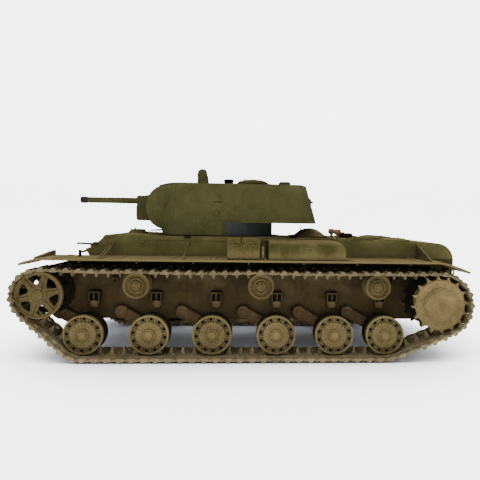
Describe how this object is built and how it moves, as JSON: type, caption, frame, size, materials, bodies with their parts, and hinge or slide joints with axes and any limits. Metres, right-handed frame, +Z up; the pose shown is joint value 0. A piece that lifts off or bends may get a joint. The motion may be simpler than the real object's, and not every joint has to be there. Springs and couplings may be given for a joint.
{
  "type": "radio-controlled tank",
  "caption": "Scale remote-control heavy tank with tracked running gear on sprung swing arms, traversing turret, elevating and recoiling gun, opening hatch.",
  "frame": {"origin": "centre of the footprint on the ground plane under the tracks", "axes": "+Z up, nose towards -X, the vehicle's left side towards -Y"},
  "size_m": [0.4219, 0.2074, 0.1838],
  "materials": {
    "olive_paint": "matt olive-green paint, dusty, worn at the edges",
    "dusty_paint": "olive paint under tan dust",
    "running_gear_paint": "khaki dust over olive-painted metal",
    "hull_mud": "olive paint under dark brown mud",
    "track_metal": "brown dusty cast metal links",
    "rusty_metal": "rust-brown muddy metal",
    "black_plastic": "black moulded plastic",
    "gun_metal": "dark gunmetal",
    "brass": "machined brass",
    "motor_steel": "plated steel",
    "battery_wrap": "dark blue shrink wrap",
    "circuit_board": "green solder mask"
  },
  "bodies": {
    "hull": {"lower_hull": "hull_mud", "upper_hull": "olive_paint", "fender_left": "dusty_paint", "fender_right": "dusty_paint", "stowage_bin_left": "dusty_paint", "stowage_bin_right": "dusty_paint", "fuel_tank_left": "dusty_paint", "fuel_tank_right": "dusty_paint", "engine_hatch": "olive_paint", "track_left": "track_metal", "track_right": "track_metal", "battery": "battery_wrap", "battery_cover": "hull_mud", "gearbox_left": "motor_steel", "gearbox_right": "motor_steel", "control_board": "circuit_board", "traverse_motor": "motor_steel"},
    "sprocket_left": {"sprocket_left": "running_gear_paint"},
    "idler_left": {"idler_left": "running_gear_paint"},
    "swing_arm_l1": {"swing_arm_l1": "rusty_metal"},
    "road_wheel_l1": {"road_wheel_l1": "running_gear_paint"},
    "swing_arm_l2": {"swing_arm_l2": "rusty_metal"},
    "road_wheel_l2": {"road_wheel_l2": "running_gear_paint"},
    "swing_arm_l3": {"swing_arm_l3": "rusty_metal"},
    "road_wheel_l3": {"road_wheel_l3": "running_gear_paint"},
    "swing_arm_l4": {"swing_arm_l4": "rusty_metal"},
    "road_wheel_l4": {"road_wheel_l4": "running_gear_paint"},
    "swing_arm_l5": {"swing_arm_l5": "rusty_metal"},
    "road_wheel_l5": {"road_wheel_l5": "running_gear_paint"},
    "swing_arm_l6": {"swing_arm_l6": "rusty_metal"},
    "road_wheel_l6": {"road_wheel_l6": "running_gear_paint"},
    "return_roller_l1": {"return_roller_l1": "running_gear_paint"},
    "return_roller_l2": {"return_roller_l2": "running_gear_paint"},
    "return_roller_l3": {"return_roller_l3": "running_gear_paint"},
    "sprocket_right": {"sprocket_right": "running_gear_paint"},
    "idler_right": {"idler_right": "running_gear_paint"},
    "swing_arm_r1": {"swing_arm_r1": "rusty_metal"},
    "road_wheel_r1": {"road_wheel_r1": "running_gear_paint"},
    "swing_arm_r2": {"swing_arm_r2": "rusty_metal"},
    "road_wheel_r2": {"road_wheel_r2": "running_gear_paint"},
    "swing_arm_r3": {"swing_arm_r3": "rusty_metal"},
    "road_wheel_r3": {"road_wheel_r3": "running_gear_paint"},
    "swing_arm_r4": {"swing_arm_r4": "rusty_metal"},
    "road_wheel_r4": {"road_wheel_r4": "running_gear_paint"},
    "swing_arm_r5": {"swing_arm_r5": "rusty_metal"},
    "road_wheel_r5": {"road_wheel_r5": "running_gear_paint"},
    "swing_arm_r6": {"swing_arm_r6": "rusty_metal"},
    "road_wheel_r6": {"road_wheel_r6": "running_gear_paint"},
    "return_roller_r1": {"return_roller_r1": "running_gear_paint"},
    "return_roller_r2": {"return_roller_r2": "running_gear_paint"},
    "return_roller_r3": {"return_roller_r3": "running_gear_paint"},
    "turret": {"turret_shell": "olive_paint", "turret_ring": "black_plastic"},
    "traverse_pinion": {"traverse_pinion": "brass"},
    "mantlet": {"mantlet": "olive_paint"},
    "gun_barrel": {"gun_barrel": "olive_paint"},
    "turret_hatch": {"turret_hatch": "olive_paint"},
    "rear_mg": {"rear_mg": "olive_paint"},
    "hull_mg": {"hull_mg": "gun_metal"},
    "power_switch": {"power_switch": "black_plastic"}
  },
  "joints": [
    {"name": "sprocket_left_spin", "type": "hinge", "parent": "hull", "child": "sprocket_left", "pos_m": [0.1795, -0.0819, 0.0525], "axis": [0, 1, 0], "continuous": true},
    {"name": "idler_left_spin", "type": "hinge", "parent": "hull", "child": "idler_left", "pos_m": [-0.1857, -0.0819, 0.0594], "axis": [0, 1, 0], "continuous": true},
    {"name": "swing_arm_l1_lift", "type": "hinge", "parent": "hull", "child": "swing_arm_l1", "pos_m": [-0.18, -0.0611, 0.0389], "axis": [0, -1, 0], "range_deg": [0, 14], "stiffness_Nm_per_rad": 0.35, "springref_deg": -11.46},
    {"name": "road_wheel_l1_spin", "type": "hinge", "parent": "swing_arm_l1", "child": "road_wheel_l1", "pos_m": [-0.149, -0.0819, 0.0223], "axis": [0, 1, 0], "continuous": true},
    {"name": "swing_arm_l2_lift", "type": "hinge", "parent": "hull", "child": "swing_arm_l2", "pos_m": [-0.1211, -0.0611, 0.0389], "axis": [0, -1, 0], "range_deg": [0, 14], "stiffness_Nm_per_rad": 0.35, "springref_deg": -11.46},
    {"name": "road_wheel_l2_spin", "type": "hinge", "parent": "swing_arm_l2", "child": "road_wheel_l2", "pos_m": [-0.0901, -0.0819, 0.0223], "axis": [0, 1, 0], "continuous": true},
    {"name": "swing_arm_l3_lift", "type": "hinge", "parent": "hull", "child": "swing_arm_l3", "pos_m": [-0.0637, -0.0611, 0.0389], "axis": [0, -1, 0], "range_deg": [0, 14], "stiffness_Nm_per_rad": 0.35, "springref_deg": -11.46},
    {"name": "road_wheel_l3_spin", "type": "hinge", "parent": "swing_arm_l3", "child": "road_wheel_l3", "pos_m": [-0.0327, -0.0819, 0.0223], "axis": [0, 1, 0], "continuous": true},
    {"name": "swing_arm_l4_lift", "type": "hinge", "parent": "hull", "child": "swing_arm_l4", "pos_m": [-0.0045, -0.0611, 0.0389], "axis": [0, -1, 0], "range_deg": [0, 14], "stiffness_Nm_per_rad": 0.35, "springref_deg": -11.46},
    {"name": "road_wheel_l4_spin", "type": "hinge", "parent": "swing_arm_l4", "child": "road_wheel_l4", "pos_m": [0.0265, -0.0819, 0.0223], "axis": [0, 1, 0], "continuous": true},
    {"name": "swing_arm_l5_lift", "type": "hinge", "parent": "hull", "child": "swing_arm_l5", "pos_m": [0.05, -0.0611, 0.0389], "axis": [0, -1, 0], "range_deg": [0, 14], "stiffness_Nm_per_rad": 0.35, "springref_deg": -11.46},
    {"name": "road_wheel_l5_spin", "type": "hinge", "parent": "swing_arm_l5", "child": "road_wheel_l5", "pos_m": [0.081, -0.0819, 0.0223], "axis": [0, 1, 0], "continuous": true},
    {"name": "swing_arm_l6_lift", "type": "hinge", "parent": "hull", "child": "swing_arm_l6", "pos_m": [0.0981, -0.0611, 0.0389], "axis": [0, -1, 0], "range_deg": [0, 14], "stiffness_Nm_per_rad": 0.35, "springref_deg": -11.46},
    {"name": "road_wheel_l6_spin", "type": "hinge", "parent": "swing_arm_l6", "child": "road_wheel_l6", "pos_m": [0.1291, -0.0819, 0.0223], "axis": [0, 1, 0], "continuous": true},
    {"name": "return_roller_l1_spin", "type": "hinge", "parent": "hull", "child": "return_roller_l1", "pos_m": [-0.1023, -0.0819, 0.0675], "axis": [0, 1, 0], "continuous": true},
    {"name": "return_roller_l2_spin", "type": "hinge", "parent": "hull", "child": "return_roller_l2", "pos_m": [0.012, -0.0819, 0.0675], "axis": [0, 1, 0], "continuous": true},
    {"name": "return_roller_l3_spin", "type": "hinge", "parent": "hull", "child": "return_roller_l3", "pos_m": [0.1222, -0.0819, 0.0675], "axis": [0, 1, 0], "continuous": true},
    {"name": "sprocket_right_spin", "type": "hinge", "parent": "hull", "child": "sprocket_right", "pos_m": [0.1795, 0.0819, 0.0525], "axis": [0, 1, 0], "continuous": true},
    {"name": "idler_right_spin", "type": "hinge", "parent": "hull", "child": "idler_right", "pos_m": [-0.1857, 0.0819, 0.0594], "axis": [0, 1, 0], "continuous": true},
    {"name": "swing_arm_r1_lift", "type": "hinge", "parent": "hull", "child": "swing_arm_r1", "pos_m": [-0.18, 0.0611, 0.0389], "axis": [0, -1, 0], "range_deg": [0, 14], "stiffness_Nm_per_rad": 0.35, "springref_deg": -11.46},
    {"name": "road_wheel_r1_spin", "type": "hinge", "parent": "swing_arm_r1", "child": "road_wheel_r1", "pos_m": [-0.149, 0.0819, 0.0223], "axis": [0, 1, 0], "continuous": true},
    {"name": "swing_arm_r2_lift", "type": "hinge", "parent": "hull", "child": "swing_arm_r2", "pos_m": [-0.1211, 0.0611, 0.0389], "axis": [0, -1, 0], "range_deg": [0, 14], "stiffness_Nm_per_rad": 0.35, "springref_deg": -11.46},
    {"name": "road_wheel_r2_spin", "type": "hinge", "parent": "swing_arm_r2", "child": "road_wheel_r2", "pos_m": [-0.0901, 0.0819, 0.0223], "axis": [0, 1, 0], "continuous": true},
    {"name": "swing_arm_r3_lift", "type": "hinge", "parent": "hull", "child": "swing_arm_r3", "pos_m": [-0.0637, 0.0611, 0.0389], "axis": [0, -1, 0], "range_deg": [0, 14], "stiffness_Nm_per_rad": 0.35, "springref_deg": -11.46},
    {"name": "road_wheel_r3_spin", "type": "hinge", "parent": "swing_arm_r3", "child": "road_wheel_r3", "pos_m": [-0.0327, 0.0819, 0.0223], "axis": [0, 1, 0], "continuous": true},
    {"name": "swing_arm_r4_lift", "type": "hinge", "parent": "hull", "child": "swing_arm_r4", "pos_m": [-0.0045, 0.0611, 0.0389], "axis": [0, -1, 0], "range_deg": [0, 14], "stiffness_Nm_per_rad": 0.35, "springref_deg": -11.46},
    {"name": "road_wheel_r4_spin", "type": "hinge", "parent": "swing_arm_r4", "child": "road_wheel_r4", "pos_m": [0.0265, 0.0819, 0.0223], "axis": [0, 1, 0], "continuous": true},
    {"name": "swing_arm_r5_lift", "type": "hinge", "parent": "hull", "child": "swing_arm_r5", "pos_m": [0.05, 0.0611, 0.0389], "axis": [0, -1, 0], "range_deg": [0, 14], "stiffness_Nm_per_rad": 0.35, "springref_deg": -11.46},
    {"name": "road_wheel_r5_spin", "type": "hinge", "parent": "swing_arm_r5", "child": "road_wheel_r5", "pos_m": [0.081, 0.0819, 0.0223], "axis": [0, 1, 0], "continuous": true},
    {"name": "swing_arm_r6_lift", "type": "hinge", "parent": "hull", "child": "swing_arm_r6", "pos_m": [0.0981, 0.0611, 0.0389], "axis": [0, -1, 0], "range_deg": [0, 14], "stiffness_Nm_per_rad": 0.35, "springref_deg": -11.46},
    {"name": "road_wheel_r6_spin", "type": "hinge", "parent": "swing_arm_r6", "child": "road_wheel_r6", "pos_m": [0.1291, 0.0819, 0.0223], "axis": [0, 1, 0], "continuous": true},
    {"name": "return_roller_r1_spin", "type": "hinge", "parent": "hull", "child": "return_roller_r1", "pos_m": [-0.1023, 0.0819, 0.0675], "axis": [0, 1, 0], "continuous": true},
    {"name": "return_roller_r2_spin", "type": "hinge", "parent": "hull", "child": "return_roller_r2", "pos_m": [0.012, 0.0819, 0.0675], "axis": [0, 1, 0], "continuous": true},
    {"name": "return_roller_r3_spin", "type": "hinge", "parent": "hull", "child": "return_roller_r3", "pos_m": [0.1222, 0.0819, 0.0675], "axis": [0, 1, 0], "continuous": true},
    {"name": "turret_traverse", "type": "hinge", "parent": "hull", "child": "turret", "pos_m": [-0.027, 0, 0.113], "axis": [0, 0, 1], "continuous": true},
    {"name": "pinion_spin", "type": "hinge", "parent": "hull", "child": "traverse_pinion", "pos_m": [0.008, 0, 0.104], "axis": [0, 0, 1], "continuous": true},
    {"name": "gun_elevation", "type": "hinge", "parent": "turret", "child": "mantlet", "pos_m": [-0.0825, 0, 0.1408], "axis": [0, 1, 0], "range_deg": [-5, 25]},
    {"name": "gun_recoil", "type": "slide", "parent": "mantlet", "child": "gun_barrel", "axis": [1, 0, 0], "range_m": [0, 0.006], "stiffness_N_per_m": 300, "springref_m": -0.002},
    {"name": "turret_hatch_hinge", "type": "hinge", "parent": "turret", "child": "turret_hatch", "pos_m": [0.0221, 0, 0.1677], "axis": [0, 1, 0], "range_deg": [0, 90]},
    {"name": "rear_mg_elevation", "type": "hinge", "parent": "turret", "child": "rear_mg", "pos_m": [0.0638, 0, 0.1496], "axis": [0, 1, 0], "range_deg": [-10, 10]},
    {"name": "hull_mg_elevation", "type": "hinge", "parent": "hull", "child": "hull_mg", "pos_m": [-0.1518, -0.025, 0.1009], "axis": [0, 1, 0], "range_deg": [-5, 10]},
    {"name": "power_switch_slide", "type": "slide", "parent": "hull", "child": "power_switch", "axis": [1, 0, 0], "range_m": [0, 0.006]}
  ],
  "couplings": [
    {"joint": "idler_left_spin", "follows": "sprocket_left_spin", "ratio": 1.1695},
    {"joint": "road_wheel_l1_spin", "follows": "sprocket_left_spin", "ratio": 1.5055},
    {"joint": "road_wheel_l2_spin", "follows": "sprocket_left_spin", "ratio": 1.5055},
    {"joint": "road_wheel_l3_spin", "follows": "sprocket_left_spin", "ratio": 1.5055},
    {"joint": "road_wheel_l4_spin", "follows": "sprocket_left_spin", "ratio": 1.5055},
    {"joint": "road_wheel_l5_spin", "follows": "sprocket_left_spin", "ratio": 1.5055},
    {"joint": "road_wheel_l6_spin", "follows": "sprocket_left_spin", "ratio": 1.5055},
    {"joint": "return_roller_l1_spin", "follows": "sprocket_left_spin", "ratio": 2.2336},
    {"joint": "return_roller_l2_spin", "follows": "sprocket_left_spin", "ratio": 2.2336},
    {"joint": "return_roller_l3_spin", "follows": "sprocket_left_spin", "ratio": 2.2336},
    {"joint": "idler_right_spin", "follows": "sprocket_right_spin", "ratio": 1.1695},
    {"joint": "road_wheel_r1_spin", "follows": "sprocket_right_spin", "ratio": 1.5055},
    {"joint": "road_wheel_r2_spin", "follows": "sprocket_right_spin", "ratio": 1.5055},
    {"joint": "road_wheel_r3_spin", "follows": "sprocket_right_spin", "ratio": 1.5055},
    {"joint": "road_wheel_r4_spin", "follows": "sprocket_right_spin", "ratio": 1.5055},
    {"joint": "road_wheel_r5_spin", "follows": "sprocket_right_spin", "ratio": 1.5055},
    {"joint": "road_wheel_r6_spin", "follows": "sprocket_right_spin", "ratio": 1.5055},
    {"joint": "return_roller_r1_spin", "follows": "sprocket_right_spin", "ratio": 2.2336},
    {"joint": "return_roller_r2_spin", "follows": "sprocket_right_spin", "ratio": 2.2336},
    {"joint": "return_roller_r3_spin", "follows": "sprocket_right_spin", "ratio": 2.2336},
    {"joint": "pinion_spin", "follows": "turret_traverse", "ratio": 6}
  ]
}
